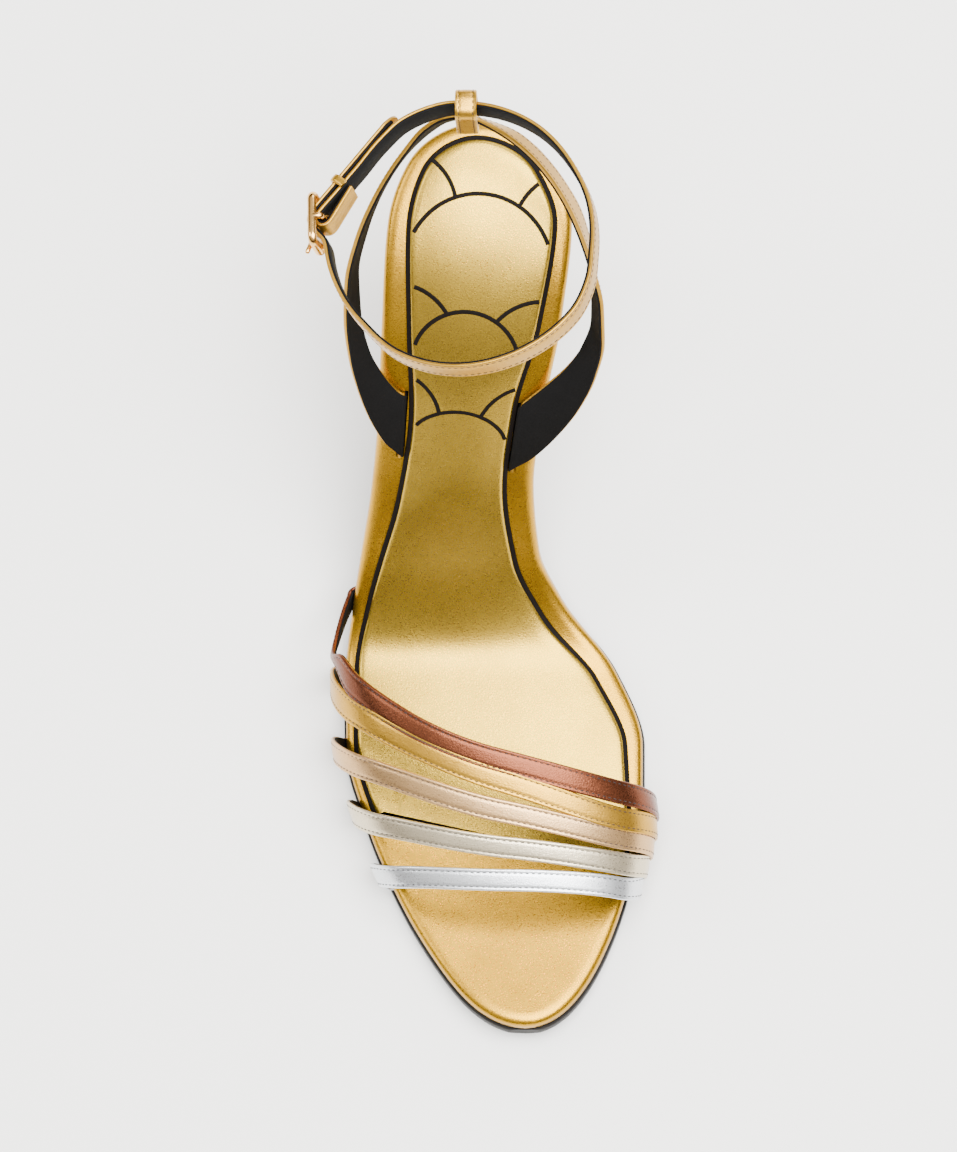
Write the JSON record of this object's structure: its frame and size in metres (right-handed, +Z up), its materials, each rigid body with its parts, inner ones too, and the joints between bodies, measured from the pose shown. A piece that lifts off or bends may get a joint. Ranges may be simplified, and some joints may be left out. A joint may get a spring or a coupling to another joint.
{
  "type": "strappy high heeled sandal",
  "caption": "Slim high heeled sandal with narrow leather straps fanned over an open toe, a heel strap through slots in the footbed and a buckled ankle strap.",
  "frame": {"origin": "middle of the flat forefoot tread, on the floor", "axes": "+X towards the inner side of the foot, -Y towards the toe, +Z up"},
  "size_m": [0.0873, 0.2225, 0.1747],
  "materials": {
    "sole_leather": "smooth black sole leather",
    "footbed_leather": "deep gold foiled leather",
    "insock_leather": "light gold foiled leather, fine grain",
    "gold_leather": "yellow gold foiled leather",
    "bronze_leather": "bronze brown foiled leather",
    "champagne_leather": "champagne foiled leather",
    "platinum_leather": "platinum foiled leather",
    "silver_leather": "silver foiled leather",
    "lining_leather": "black lining leather",
    "lift_rubber": "matt black moulded lift",
    "buckle_metal": "polished gold plate"
  },
  "bodies": {
    "root": {"outsole": "sole_leather", "footbed": "footbed_leather", "insock": "insock_leather", "heel": "footbed_leather", "top_lift": "lift_rubber", "forefoot_straps": "champagne_leather", "heel_strap": "insock_leather", "ankle_strap": "insock_leather", "heel_loop": "gold_leather", "strap_keeper": "gold_leather", "buckle_frame": "buckle_metal", "buckle_prong": "buckle_metal"}
  },
  "joints": []
}
